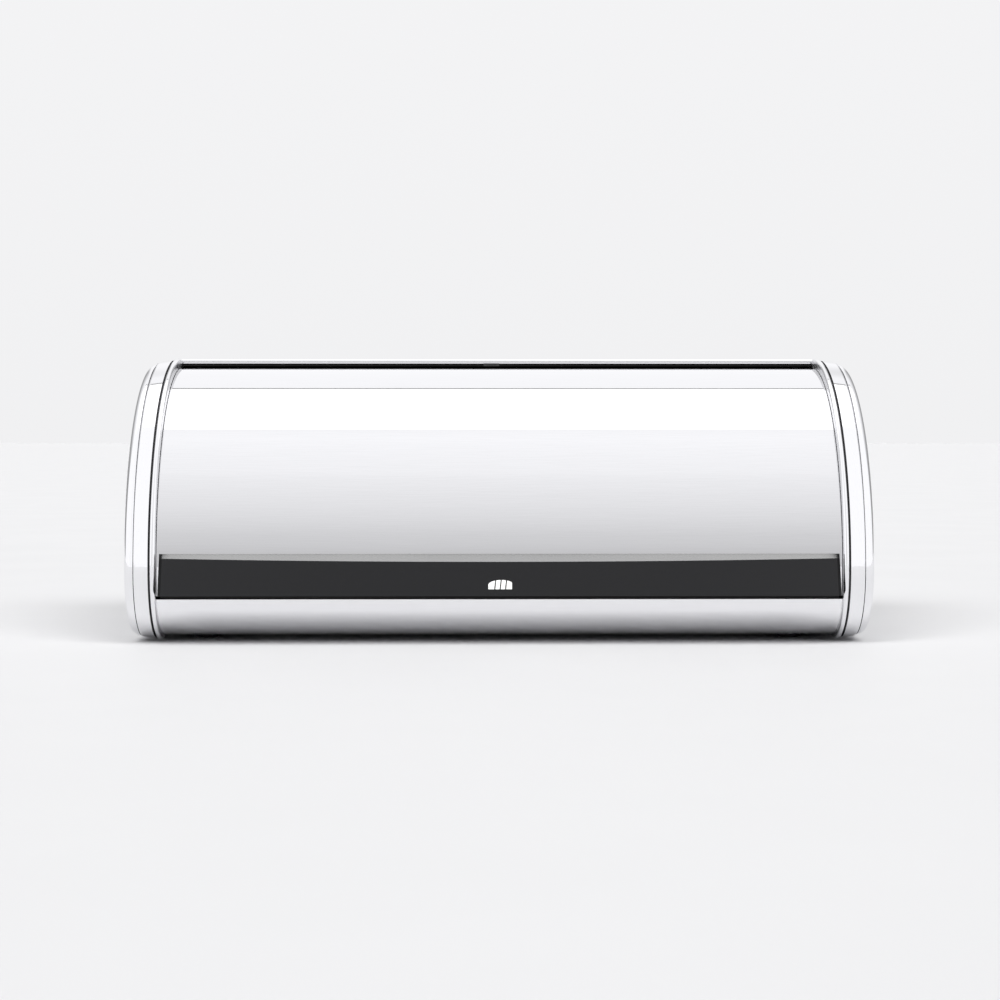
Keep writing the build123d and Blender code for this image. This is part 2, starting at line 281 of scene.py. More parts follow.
# %% Shell
shell_low, shell_top = span("body_shell", Z)
shell_back = span("body_shell", Y)[1]
shell_half = span("body_shell", X)[1]
shell_corner_low, shell_corner_high = 16.0, 27.0
lip_top, lip_fold, fold_blend = 27.3, 6.0, 0.2
strip_top = span("top_edge_strip", Z)[1]
hem_front = pivot_y - 3.0
hem_radius = (shell_top - strip_top) / 2
lip_steps = 37


def shell_path(skin):
    """The sheet's line from the lip to the hem, this far under its outer face."""
    low, high, back = shell_low + skin, shell_top - skin, shell_back - skin
    lip_arc = pivot_z - shell_low - skin
    drop = math.degrees(math.asin((pivot_z - lip_top) / lip_arc))
    r_low, r_high = shell_corner_low - skin, shell_corner_high - skin
    path = arc((front_centre_y, pivot_z), lip_arc, 180 + drop, 270, lip_steps - 1)
    path += arc((back - r_low, low + r_low), r_low, 270, 360, 14)
    path += arc((back - r_high, high - r_high), r_high, 0, 90, 18)
    return path


def push_along(name, section, x0, x1):
    """A closed section of (y, z) points, made solid between two places along the bin."""
    count = len(section)
    points = [(x, y, z) for x in (x0, x1) for y, z in section]
    faces = [[j, (j + 1) % count, count + (j + 1) % count, count + j] for j in range(count)]
    faces += [list(range(count))[::-1], list(range(count, 2 * count))]
    return mesh_object(name, points, faces)


def body_shell():
    outer, inner, fold = (shell_path(skin) for skin in (0.0, sheet, 2 * sheet))
    folded = [p for p in fold[:lip_steps] if p[1] > lip_top - lip_fold]
    under_fold = [p for p in inner[:lip_steps] if p[1] < folded[-1][1] - fold_blend] + inner[lip_steps:]
    hem_centre = (hem_front + hem_radius, shell_top - hem_radius)
    roll_out = arc(hem_centre, hem_radius, 90, 360, 30)
    roll_in = arc(hem_centre, hem_radius - sheet, 360, 90, 30)
    section = outer + roll_out + roll_in + under_fold[::-1] + folded[::-1]
    return settle(push_along("body_shell_fine", section, -shell_half, shell_half))


shell = body_shell()
print("shell faces:", len(shell.data.polygons))

# %% [markdown]
# ## One helper for every node
#
# Geometry Nodes and materials are both graphs of nodes. This single function adds a node, sets its
# options, and fills its inputs: a value is typed in, and another node's output is linked.

# %% Node helper
def add(tree, kind, options=None, inputs=None):
    """Adds a node with its options and its inputs, each input a value or an output to link."""
    node = tree.nodes.new(kind)
    for name, value in (options or {}).items():
        setattr(node, name, value)
    for name, value in (inputs or {}).items():
        if isinstance(value, bpy.types.NodeSocket):
            tree.links.new(value, node.inputs[name])
        else:
            node.inputs[name].default_value = value
    return node


def maths(tree, operation, *values):
    """A sum or function of up to three values or outputs."""
    return add(tree, "ShaderNodeMath", {"operation": operation}, dict(enumerate(values))).outputs[0]


def geometry_tree(name, numbers, with_geometry=False):
    """An empty geometry tree with named inputs, all lengths in metres and angles in radians."""
    tree = bpy.data.node_groups.new(name, "GeometryNodeTree")
    if with_geometry:
        tree.interface.new_socket("Geometry", in_out="INPUT", socket_type="NodeSocketGeometry")
    for label, value in numbers.items():
        kind = "NodeSocketInt" if isinstance(value, int) else "NodeSocketFloat"
        socket = tree.interface.new_socket(label, in_out="INPUT", socket_type=kind)
        socket.default_value = value
    tree.interface.new_socket("Finish", in_out="INPUT", socket_type="NodeSocketMaterial")
    tree.interface.new_socket("Geometry", in_out="OUTPUT", socket_type="NodeSocketGeometry")
    return tree, tree.nodes.new("NodeGroupInput").outputs


def grow(name, tree, numbers, finish, start=None):
    """Runs a geometry tree with these inputs on an object and keeps the plain mesh it makes."""
    made = in_scene(name, start or bpy.data.meshes.new(name))
    modifier = made.modifiers.new("grow", "NODES")
    modifier.node_group = tree
    for item in tree.interface.items_tree:
        if item.in_out == "INPUT" and item.name in numbers:
            modifier[item.identifier] = numbers[item.name]
        if item.in_out == "INPUT" and item.name == "Finish":
            modifier[item.identifier] = finish
    return keep_plain(made)


# %% [markdown]
# ## Colours
#
# Paint and plastic are known by their sRGB hex colour, but a renderer computes in linear light.
# One function turns the one into the other.

# %% Colours
def colour(hex_code):
    """An sRGB hex colour as linear RGBA."""
    parts = [int(hex_code[i : i + 2], 16) / 255 for i in (0, 2, 4)]
    return (*[c / 12.92 if c <= 0.04045 else ((c + 0.055) / 1.055) ** 2.4 for c in parts], 1.0)


def start_finish(name, base, metallic, roughness, ior=None):
    """A material with its Principled shader and the piece's own coordinates, in metres."""
    material = bpy.data.materials.new(name)
    material.use_nodes = True
    tree = material.node_tree
    shader = next(n for n in tree.nodes if n.type == "BSDF_PRINCIPLED")
    shader.inputs["Base Color"].default_value = colour(base)
    shader.inputs["Metallic"].default_value = metallic
    shader.inputs["Roughness"].default_value = roughness
    if ior:
        shader.inputs["IOR"].default_value = ior
    place = add(tree, "ShaderNodeTexCoord").outputs["Object"]
    return material, tree, shader, place


def pattern(tree, place, size_mm, stretch=(1, 1, 1), detail=2.0, rough=0.5):
    """A noise whose features are about size_mm across, longer where stretch is above 1."""
    scaled = add(tree, "ShaderNodeMapping", {}, {"Vector": place, "Scale": [1 / s for s in stretch]})
    settings = {"Scale": 1 / (size_mm * MM), "Detail": detail, "Roughness": rough}
    return add(tree, "ShaderNodeTexNoise", {}, {"Vector": scaled.outputs[0], **settings}).outputs["Fac"]


def spread(tree, value, low, high, start=0.35, end=0.65):
    """Maps a pattern, whose values crowd round a half, to the range low to high."""
    inputs = {"Value": value, "From Min": start, "From Max": end, "To Min": low, "To Max": high}
    return add(tree, "ShaderNodeMapRange", {}, inputs).outputs[0]


def tinted(tree, shader, base, change, share):
    """The base colour, which moves to a darker or lighter one by the share that a pattern gives."""
    other = Vector(colour(base)[:3]) * change
    ends = {"Factor": share, "A": colour(base), "B": (*other, 1.0)}
    mixed = add(tree, "ShaderNodeMix", {"data_type": "RGBA"}, ends)
    tree.links.new(mixed.outputs["Result"], shader.inputs["Base Color"])


def relief(tree, shader, *layers):
    """Stacks bumps: each layer is a pattern and its height in millimetres."""
    normal = None
    for value, height_mm in layers:
        bump = add(tree, "ShaderNodeBump", {}, {"Height": value, "Distance": height_mm * MM, "Strength": 1.0})
        if normal:
            tree.links.new(normal, bump.inputs["Normal"])
        normal = bump.outputs["Normal"]
    tree.links.new(normal, shader.inputs["Normal"])


# %% [markdown]
# ## Polished stainless sheet
#
# The steel is a chromium-nickel stainless sheet, bright annealed and then buffed along its length.
# That leaves a mirror with three kinds of small flaw: a lazy waviness from rolling, centimetres
# long and a few micrometres high; hairlines along the polishing direction; and a faint haze, which
# is the roughness, uneven like every hand-buffed face. Hairlines are about 0.02 mm apart on the
# real sheet, far too fine to see here, so they are drawn about 0.4 mm apart and very shallow. The
# insides are not buffed: they keep the mill's finish, which is much hazier.

# %% Steel
def polished_steel(name, base="F2F2F4", haze=(0.02, 0.04), grain_stretch=(60, 1, 1), wave_mm=0.004):
    material, tree, shader, place = start_finish(name, base, 1.0, haze[0])
    waves = pattern(tree, place, 70.0, detail=1.0)
    hairlines = pattern(tree, place, 0.4, grain_stretch, detail=3.0, rough=0.65)
    smears = pattern(tree, place, 22.0, (2.5, 1, 1), detail=4.0, rough=0.6)
    haze_now = spread(tree, smears, haze[0], haze[1])
    lined = maths(tree, "MULTIPLY_ADD", spread(tree, hairlines, -0.5, 0.5), 0.012, haze_now)
    tree.links.new(lined, shader.inputs["Roughness"])
    tinted(tree, shader, base, 0.965, spread(tree, hairlines, 0.0, 1.0, 0.3, 0.7))
    relief(tree, shader, (waves, wave_mm), (hairlines, 0.00012))
    return material


lid_steel = polished_steel("buffed_stainless_lid")
shell_steel = polished_steel("buffed_stainless_shell", wave_mm=0.008)
drawn_steel = polished_steel(
    "drawn_stainless_cover", haze=(0.03, 0.06), grain_stretch=(1, 8, 8), wave_mm=0.006
)
mill_steel = polished_steel(
    "mill_finish_inside", base="D9D9DB", haze=(0.26, 0.34), grain_stretch=(14, 1, 1), wave_mm=0.006
)
print("steels:", lid_steel.name, shell_steel.name, drawn_steel.name, mill_steel.name)

# %% [markdown]
# ## Moulded ABS
#
# The handle is ABS, injection moulded in a spark-eroded mould. ABS has an index of refraction of
# about 1.54, and the eroded texture gives it a satin sheen with very fine grains, 0.1 mm or so,
# drawn at 0.35 mm so that it shows. The hidden mouldings share the recipe with a duller texture.

# %% Plastics
def moulded(name, base, roughness, grain_mm, grain_height_mm, ior=1.54, shine=0.5):
    material, tree, shader, place = start_finish(name, base, 0.0, roughness, ior)
    shader.inputs["Specular IOR Level"].default_value = shine
    grain = pattern(tree, place, grain_mm, detail=2.0, rough=0.6)
    flow = pattern(tree, place, 35.0, (3, 1, 1), detail=2.0)
    tree.links.new(spread(tree, flow, roughness * 0.88, roughness * 1.12), shader.inputs["Roughness"])
    tinted(tree, shader, base, 1.25, spread(tree, grain, 0.0, 1.0))
    relief(tree, shader, (flow, 0.003), (grain, grain_height_mm))
    return material


handle_abs = moulded("satin_abs_handle", "121214", 0.2, 0.35, 0.0004, shine=0.3)
# Black plastic for the strips; on the handle the same black is painted shade under the nose and round the
# ends.
black_abs_and_painted_shade = moulded("eroded_abs_black_and_painted_shade", "0A0A0B", 0.3, 0.5, 0.001, shine=0.15)
grey_abs = moulded("eroded_abs_grey", "2E2E30", 0.45, 0.4, 0.002)
acetal = moulded("acetal_white", "E2E0D8", 0.38, 0.6, 0.001, ior=1.48)
rubber = moulded("nitrile_rubber", "1B1B1B", 0.8, 0.8, 0.01, ior=1.52)
print("plastics:", handle_abs.name, black_abs_and_painted_shade.name, acetal.name, rubber.name)

# %% [markdown]
# ## Small metal parts
#
# The screws are zinc-plated steel: slightly blue, slightly cloudy. The pins and rivets are turned
# stainless, whose tool leaves fine rings round the axis, here 0.25 mm apart.

# %% Fastener metals
def small_metal(name, base, roughness, cloud_mm, ring_mm=0.25):
    material, tree, shader, place = start_finish(name, base, 1.0, roughness)
    cloud = pattern(tree, place, cloud_mm, detail=3.0)
    rings = pattern(tree, place, ring_mm, (1, 12, 12), detail=1.0)
    tree.links.new(spread(tree, cloud, roughness * 0.8, roughness * 1.3), shader.inputs["Roughness"])
    tinted(tree, shader, base, 0.88, spread(tree, cloud, 0.0, 1.0))
    relief(tree, shader, (cloud, 0.004), (rings, 0.0008))
    return material


plated = small_metal("zinc_plated_steel", "C9CCD0", 0.28, 1.5)
blackened = small_metal("black_oxide_steel", "1A1A1C", 0.4, 2.0)
turned = small_metal("turned_stainless", "CFCFCF", 0.22, 3.0)
print("fastener metals:", plated.name, turned.name)

# %% [markdown]
# ## The lid: a rule in Geometry Nodes
#
# The lid is a flat sheet rolled to an arc about the axle, so its shape is one rule: a grid whose
# depth becomes an angle. The tree makes the grid, bends it, gives it a thickness by extruding it
# inwards, and joins the two skins. Change Radius or the two angles and the sheet rolls anew.

# %% Rolled sheet tree
def rolled_sheet_tree():
    numbers = {"Width": 0.4, "Radius": 0.12, "Low angle": 0.0, "High angle": 1.5, "Thickness": 0.0005,
               "Axle Y": 0.0, "Axle Z": 0.0, "Along": 3, "Around": 200}
    tree, given = geometry_tree("rolled_sheet", numbers)
    span_angle = maths(tree, "SUBTRACT", given["High angle"], given["Low angle"])
    grid = add(tree, "GeometryNodeMeshGrid", {}, {
        "Size X": given["Width"], "Size Y": span_angle,
        "Vertices X": given["Along"], "Vertices Y": given["Around"],
    })
    here = add(tree, "ShaderNodeSeparateXYZ", {}, {0: add(tree, "GeometryNodeInputPosition").outputs[0]})
    middle = maths(tree, "MULTIPLY", maths(tree, "ADD", given["High angle"], given["Low angle"]), 0.5)
    angle = maths(tree, "ADD", here.outputs["Y"], middle)
    across = maths(tree, "MULTIPLY", given["Radius"], maths(tree, "COSINE", angle))
    up = maths(tree, "MULTIPLY", given["Radius"], maths(tree, "SINE", angle))
    place = add(tree, "ShaderNodeCombineXYZ", {}, {
        "X": here.outputs["X"], "Y": maths(tree, "SUBTRACT", given["Axle Y"], across),
        "Z": maths(tree, "ADD", given["Axle Z"], up),
    })
    bent = add(tree, "GeometryNodeSetPosition", {}, {
        "Geometry": grid.outputs["Mesh"], "Position": place.outputs[0],
    })
    inwards = maths(tree, "MULTIPLY", given["Thickness"], -1.0)
    inner = add(tree, "GeometryNodeExtrudeMesh", {"mode": "FACES"}, {
        "Mesh": bent.outputs[0], "Offset Scale": inwards, "Individual": False,
    })
    both = add(tree, "GeometryNodeJoinGeometry")
    tree.links.new(inner.outputs["Mesh"], both.inputs[0])
    outer = add(tree, "GeometryNodeFlipFaces", {}, {"Mesh": bent.outputs[0]})
    tree.links.new(outer.outputs[0], both.inputs[0])
    merged = add(tree, "GeometryNodeMergeByDistance", {}, {
        "Geometry": both.outputs[0], "Distance": 0.00001,
    })
    outwards = add(tree, "GeometryNodeFlipFaces", {}, {"Mesh": merged.outputs[0]})
    solid = add(tree, "GeometryNodeRealizeInstances", {}, {"Geometry": outwards.outputs[0]})
    dressed = add(tree, "GeometryNodeSetMaterial", {}, {
        "Geometry": solid.outputs[0], "Material": given["Finish"],
    })
    add(tree, "NodeGroupOutput", {}, {"Geometry": dressed.outputs[0]})
    return tree


lid_radius = 125.0
lid_low, lid_high = -6.3, 97.0
lid_half = span("lid_panel", X)[1]
lid_sizes = {
    "Width": 2 * lid_half * MM, "Radius": lid_radius * MM, "Thickness": sheet * MM,
    "Low angle": math.radians(lid_low), "High angle": math.radians(lid_high),
    "Axle Y": pivot_y * MM, "Axle Z": pivot_z * MM, "Along": 3, "Around": 210,
}
lid = settle(grow("lid_panel_fine", rolled_sheet_tree(), lid_sizes, lid_steel))
print("lid faces:", len(lid.data.polygons))

# %% [markdown]
# ## Handle
#
# The handle is a wedge that leans out towards its lower edge, with a sloping upper face that the
# light from above catches. That upper face is a little deeper in the middle than at the ends, so
# the line between the two faces is a very flat curve, but its slope stays the same all along, which
# keeps its reflection even. The section is drawn at many stations along the bin, with the bend
# worked out for each, and a bevel rounds the moulded edges.

# %% Handle shape
handle_half = span("handle", X)[1]
handle_top, face_top, handle_low = 54.3, 49.8, 29.9
flange_low = span("handle", Z)[0]
nose_y = span("handle", Y)[0]
face_top_y, flange_y = -125.2, -122.4
end_rise, end_rounding = 1.9, 2.0
stations, back_steps, rounding_steps = 40, 10, 6
least_depth = 0.3
lean = (face_top_y - nose_y) / (face_top - handle_low)


def on_lid(z):
    """How far forward the lid's outer face is at this height."""
    return pivot_y - math.sqrt(lid_radius**2 - (z - pivot_z) ** 2)


def handle_section(x, set_back):
    """The closed section (y, z) at one station, its front pushed back by the ends' rounding."""
    rise = end_rise * (x / handle_half) ** 2
    heights = [flange_low + (handle_top - flange_low) * i / back_steps for i in range(back_steps + 1)]
    back = [(on_lid(z), z) for z in heights]
    facet_slope = (handle_top - face_top) / (on_lid(handle_top) - face_top_y)
    front = [(face_top_y + rise / facet_slope, face_top + rise), (nose_y, handle_low),
             (flange_y, handle_low), (flange_y, flange_low)]
    return back + [(min(y + set_back, on_lid(z) - least_depth), z) for y, z in front]


def handle():
    flat = handle_half - end_rounding
    places = [(flat * (2 * i / stations - 1), 0.0) for i in range(stations + 1)]
    for i in range(1, rounding_steps + 1):
        turn = math.radians(90 / rounding_steps * i)
        place = flat + end_rounding * math.sin(turn), end_rounding * (1 - math.cos(turn))
        places = [(-place[0], place[1])] + places + [place]
    sections = [[(x, y, z) for y, z in handle_section(x, set_back)] for x, set_back in places]
    count, last = len(sections[0]), len(sections) - 1
    faces = []
    for i in range(last):
        here, beyond = i * count, (i + 1) * count
        for j in range(count):
            k = (j + 1) % count
            faces.append([here + j, beyond + j, beyond + k, here + k])
    faces += [list(range(count)), list(range(last * count, (last + 1) * count))[::-1]]
    made = mesh_object("handle_fine", [p for s in sections for p in s], faces)
    return settle(made, bevel_mm=0.4, segments=3, sharp_degrees=25.0)


grip = handle()
print("handle faces:", len(grip.data.polygons))

# %% [markdown]
# ## Printed mark
#
# A small white pictogram of a loaf sits in the middle of the handle, pad printed. It is drawn as a
# thin film of ink, 0.04 mm proud, and joined to the handle's mesh with an ink of its own. Under
# the nose and round its ends the handle takes a blacker, duller plastic: painted shade for the
# recess under the nose and for the dark rounded ends.

# %% Mark
mark_middle_z, mark_half, mark_height = 36.6, 7.0, 5.4
ink_proud, ink_root = 0.04, 0.1
mark_cuts, half_cut, cut_lean = (-3.2, 0.0, 3.2), 0.35, 0.12
shoulder, mark_steps = 0.55, 8


def on_face(x, z):
    """A point on the handle's front face."""
    return (x, nose_y + lean * (z - handle_low), z)


def loaf(name):
    """A loaf seen from the side: a domed outline with three slanted cuts left open."""
    low = mark_middle_z - mark_height / 2
    edges = [-mark_half] + [cut + d for cut in mark_cuts for d in (-half_cut, half_cut)] + [mark_half]
    points, faces = [], []
    for start, end in zip(edges[::2], edges[1::2]):
        first = len(points)
        for i in range(mark_steps + 1):
            x = start + (end - start) * i / mark_steps
            round_top = math.sqrt(max(0.0, 1 - (x / mark_half) ** 2))
            dome = mark_height * (shoulder + (1 - shoulder) * round_top)
            lean_x = cut_lean * dome if abs(x) < mark_half - 0.01 else 0.0
            for px, pz in ((x, low), (x + lean_x, low + dome)):
                face_x, face_y, face_z = on_face(px, pz)
                points += [(face_x, face_y - ink_proud, face_z), (face_x, face_y + ink_root, face_z)]
        for i in range(mark_steps):
            a, b = first + 4 * i, first + 4 * i + 4
            faces += [[a, b, b + 2, a + 2], [a + 1, a + 3, b + 3, b + 1]]
            faces += [[a, a + 1, b + 1, b], [a + 2, b + 2, b + 3, a + 3]]
        last = first + 4 * mark_steps
        faces += [[first, first + 2, first + 3, first + 1], [last, last + 1, last + 3, last + 2]]
    return settle(mesh_object(name, points, faces), sharp_degrees=20.0)


mark = loaf("loaf_mark")
white_ink = moulded("pad_printed_ink", "E9E9E7", 0.45, 0.3, 0.001, ior=1.5)
for piece, finishes in ((grip, (handle_abs, black_abs_and_painted_shade)), (mark, (white_ink,))):
    piece.data.materials.clear()
    for finish in finishes:
        piece.data.materials.append(finish)
# Painted shade: the faces under the nose and round the ends take the blacker plastic.
painted_shade_below, painted_shade_beyond = (handle_low + 0.45) * MM, (handle_half - end_rounding + 0.1) * MM
for face in grip.data.polygons:
    face.material_index = 1 if face.center.z < painted_shade_below or abs(face.center.x) > painted_shade_beyond else 0
grip = join("handle_fine", grip, mark)
print("handle with mark:", len(grip.data.polygons), [m.name for m in grip.data.materials])

# %% [markdown]
# ## Screws and rivets from one rule
#
# A screw head and a rivet head are both a rounded profile turned about an axis. The tree takes a
# grid, uses its depth as the angle along the profile and its width as the turn, and merges the
# seam. A high power in the profile gives the flat-topped pan head and 2 gives a round dome. The
# cross recess is cut with two bars. The head and shank are then set on every given point, along
# the direction that the point carries.

# %% Fastener tree
def fastener_tree():
    numbers = {"Head radius": 0.003, "Head height": 0.0016, "Roundness": 3.0,
               "Shank radius": 0.0015, "Shank length": 0.006,
               "Recess width": 0.0008, "Recess length": 0.003, "Recess depth": 0.001,
               "Around": 40, "Along": 21}
    tree, given = geometry_tree("fasteners", numbers, with_geometry=True)
    grid = add(tree, "GeometryNodeMeshGrid", {}, {
        "Size X": 2 * math.pi, "Size Y": math.pi,
        "Vertices X": given["Around"], "Vertices Y": given["Along"],
    })
    here = add(tree, "ShaderNodeSeparateXYZ", {}, {0: add(tree, "GeometryNodeInputPosition").outputs[0]})
    power = maths(tree, "DIVIDE", 2.0, given["Roundness"])
    cosine = maths(tree, "MAXIMUM", maths(tree, "COSINE", here.outputs["Y"]), 0.0)
    sine = maths(tree, "MAXIMUM", maths(tree, "SINE", here.outputs["Y"]), 0.0)
    reach = maths(tree, "MULTIPLY", given["Head radius"], maths(tree, "POWER", cosine, power))
    rise = maths(tree, "MULTIPLY", given["Head height"], maths(tree, "POWER", sine, power))
    place = add(tree, "ShaderNodeCombineXYZ", {}, {
        "X": maths(tree, "MULTIPLY", reach, maths(tree, "COSINE", here.outputs["X"])),
        "Y": maths(tree, "MULTIPLY", reach, maths(tree, "SINE", here.outputs["X"])), "Z": rise,
    })
    turned_head = add(tree, "GeometryNodeSetPosition", {}, {
        "Geometry": grid.outputs["Mesh"], "Position": place.outputs[0],
    })
    head = add(tree, "GeometryNodeMergeByDistance", {}, {
        "Geometry": turned_head.outputs[0], "Distance": 0.00002,
    })
    deep = maths(tree, "MULTIPLY", given["Recess depth"], 2.0)
    cut = head.outputs[0]
    for x_size, y_size in (("Recess length", "Recess width"), ("Recess width", "Recess length")):
        size = add(tree, "ShaderNodeCombineXYZ", {}, {"X": given[x_size], "Y": given[y_size], "Z": deep})
        bar = add(tree, "GeometryNodeMeshCube", {}, {"Size": size.outputs[0]})
        at_top = add(tree, "ShaderNodeCombineXYZ", {}, {"Z": given["Head height"]})
        raised_bar = add(tree, "GeometryNodeTransform", {}, {
            "Geometry": bar.outputs[0], "Translation": at_top.outputs[0],
        })
        options = {"operation": "DIFFERENCE", "solver": "EXACT"}
        boolean = add(tree, "GeometryNodeMeshBoolean", options, {"Mesh 1": cut})
        tree.links.new(raised_bar.outputs[0], boolean.inputs["Mesh 2"])
        cut = boolean.outputs["Mesh"]
    shank = add(tree, "GeometryNodeMeshCylinder", {}, {
        "Radius": given["Shank radius"], "Depth": given["Shank length"], "Vertices": 24,
    })
    nearly_half_down = maths(tree, "MULTIPLY", given["Shank length"], -0.495)
    below = add(tree, "ShaderNodeCombineXYZ", {}, {"Z": nearly_half_down})
    low_shank = add(tree, "GeometryNodeTransform", {}, {
        "Geometry": shank.outputs[0], "Translation": below.outputs[0],
    })
    whole = add(tree, "GeometryNodeJoinGeometry")
    for part in (cut, low_shank.outputs[0]):
        tree.links.new(part, whole.inputs[0])
    axis = add(tree, "GeometryNodeInputNamedAttribute", {"data_type": "FLOAT_VECTOR"}, {"Name": "axis"})
    turn = add(tree, "FunctionNodeAlignRotationToVector", {"axis": "Z"}, {
        "Vector": axis.outputs["Attribute"],
    })
    set_out = add(tree, "GeometryNodeInstanceOnPoints", {}, {
        "Points": given["Geometry"], "Instance": whole.outputs[0], "Rotation": turn.outputs[0],
    })
    solid = add(tree, "GeometryNodeRealizeInstances", {}, {"Geometry": set_out.outputs[0]})
    dressed = add(tree, "GeometryNodeSetMaterial", {}, {
        "Geometry": solid.outputs[0], "Material": given["Finish"],
    })
    add(tree, "NodeGroupOutput", {}, {"Geometry": dressed.outputs[0]})
    return tree


fasteners = fastener_tree()


def set_out(name, seats, finish, **sizes_mm):
    """One fastener on each seat, a point in millimetres with the direction its head faces."""
    mesh = bpy.data.meshes.new(name + "_seats")
    mesh.from_pydata([[c * MM for c in point] for point, _ in seats], [], [])
    axis = mesh.attributes.new("axis", "FLOAT_VECTOR", "POINT")
    axis.data.foreach_set("vector", [c for _, direction in seats for c in direction])
    numbers = {label.replace("_", " "): size * MM for label, size in sizes_mm.items()}
    if "Roundness" in numbers:
        numbers["Roundness"] = sizes_mm["Roundness"]
    made = grow(name, fasteners, numbers, finish, mesh)
    if "axis" in made.data.attributes:
        made.data.attributes.remove(made.data.attributes["axis"])
    return settle(made, sharp_degrees=38.0)


# %% [markdown]
# ## Where the fasteners sit
#
# Each row of screws is spaced evenly or in pairs, so a few distances along the bin say where they
# all are. The heights and depths come from the boxes of the mechanical model.

# %% Setting out
down, back = (0, 0, -1), (0, 1, 0)
shank = {"Head_radius": 3.0, "Shank_radius": 1.5, "Shank_length": 6.0}
pan_head = {**shank, "Head_height": 1.6, "Roundness": 3.2,
            "Recess_width": 0.75, "Recess_length": 3.1, "Recess_depth": 1.0}
low_head = {**shank, "Head_height": 0.8, "Roundness": 2.6,
            "Recess_width": 0.7, "Recess_length": 2.8, "Recess_depth": 0.5}
end_x, back_screw_z = 196.5, 120.0
base_seats = [((x, y, shell_low), down) for x in (-end_x, end_x) for y in (-50.0, 25.0, 92.0)]
back_seats = [((x, shell_back, back_screw_z), back) for x in (-end_x, end_x)]
base_screws = set_out("base_screws", base_seats, plated, **pan_head)
back_screws = set_out("back_screws", back_seats, plated, **low_head)
body_screws = join("shell_screws_fine", base_screws, back_screws)

rim_x, rim_thick = 188.0, 2.0  # beyond this the screws sit on the arms' rims, which are this thick
handle_seat_y = span("handle_screws", Y)[1] - pan_head["Head_height"]
handle_seats = [((x, handle_seat_y - (rim_thick if abs(x) < rim_x else 0.0), pivot_z), back)
                for x in (-193.0, -115.0, -38.0, 38.0, 115.0, 193.0)]
handle_screws = set_out("handle_screws_fine", handle_seats, plated, **pan_head)
print("screw faces:", len(body_screws.data.polygons), len(handle_screws.data.polygons))

# %% [markdown]
# ## Which piece goes where
#
# Each fine mesh rides on a body of the mechanical model and stands for one of its nodes. All other
# nodes stay as they are and only take a better finish. The sheet is buffed on its outer face only,
# so the faces that look inwards get the mill's finish.

# %% Riding
hem_zone = 3.6  # the hem's roll stays bright, this far down from the top


def stand_in(made, node, body, finish=None):
    """The fine piece takes the node's place and body, and the given finish if there is one."""
    if finish:
        made.data.materials.clear()
        made.data.materials.append(finish)
    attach(made, body)
    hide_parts(node)


def dull_inside(made, is_inside, outer):
    """The outer finish where the test says no, the mill's finish where it says yes."""
    made.data.materials.clear()
    for finish in (outer, mill_steel):
        made.data.materials.append(finish)
    for face in made.data.polygons:
        face.material_index = 1 if is_inside(face.center / MM, face.normal) else 0


def inside_lid(centre, normal):
    return math.hypot(centre.y - pivot_y, centre.z - pivot_z) < lid_radius - 0.9 * sheet


def inside_shell(centre, normal):
    faces_in = normal.y * centre.y + normal.z * (centre.z - shell_top / 2) < 0
    return faces_in and centre.z < shell_top - hem_zone and abs(normal.x) < 0.5


def inside_bead(centre, normal):
    return abs(normal.x) > 0.9 and abs(centre.x) < bead_in + sheet / 2


dull_inside(lid, inside_lid, lid_steel)
dull_inside(shell, inside_shell, shell_steel)

for side in sides:
    dull_inside(beads[side], inside_bead, shell_steel)
    stand_in(beads[side], "trim_bead_" + side, "housing")
    stand_in(covers[side], "end_cover_" + side, "housing", drawn_steel)
stand_in(shell, "body_shell", "housing")
stand_in(lid, "lid_panel", "lid")
stand_in(grip, "handle", "lid")
stand_in(body_screws, "shell_screws", "housing")
stand_in(handle_screws, "handle_screws", "lid")

carried = {
    "top_edge_strip": black_abs_and_painted_shade, "centre_clip": grey_abs, "rear_edge_strip": black_abs_and_painted_shade,
    "side_panel_left": mill_steel, "side_panel_right": mill_steel,
    "cap_carrier_left": grey_abs, "cap_carrier_right": grey_abs, "carrier_screws": plated,
    "pivot_pin_left": turned, "pivot_pin_right": turned,
    "retaining_clip_left": plated, "retaining_clip_right": plated,
    "stop_buffers": rubber, "foot_pads": rubber,
    "lid_arm_left": mill_steel, "lid_arm_right": mill_steel,
    "pivot_bush_left": acetal, "pivot_bush_right": acetal,
    "rear_strip_rivets": blackened, "arm_rivets": blackened,
}
for node, finish in carried.items():
    mesh = nodes[node].data
    if not mesh.materials:
        mesh.materials.append(finish)
    for i in range(len(mesh.materials)):
        mesh.materials[i] = finish
print("carried nodes:", len(carried), "of", len(nodes))

# %% [markdown]
# ## The room
#
# Polished steel has no colour of its own: what it shows is the room. So the light here is set like
# a studio for shiny goods. A pale floor runs to the horizon. The surroundings are a smooth glow
# whose strength depends on direction: dim low down in front, where the camera stands, and brighter
# with height, so that the curved lid shows a grey that lightens upwards. White boards stand at
# both sides, a darker gap lies behind them, and the back is white.

# %% Surroundings
steel_reflects = 0.86
fill_light = 0.3  # how much of the glow lights matt things
lowest, highest = -10, 90  # degrees of height that the glow is drawn for
front_light = [
    (-10, 0.50), (8, 0.54), (13, 0.59), (17.5, 0.61), (22, 0.65), (27, 0.69), (31.6, 0.72), (36, 0.75),
    (41, 0.77), (46, 0.80), (51, 0.82), (56, 0.86), (67, 0.885), (79, 0.92), (86, 0.90),
]
board_light = [(-10, 1.12), (60, 1.12)]
back_light = [(-10, 0.86), (12, 0.90), (20, 1.04), (60, 1.06)]
gap_light = [(-10, 0.32), (20, 0.38), (45, 1.05)]


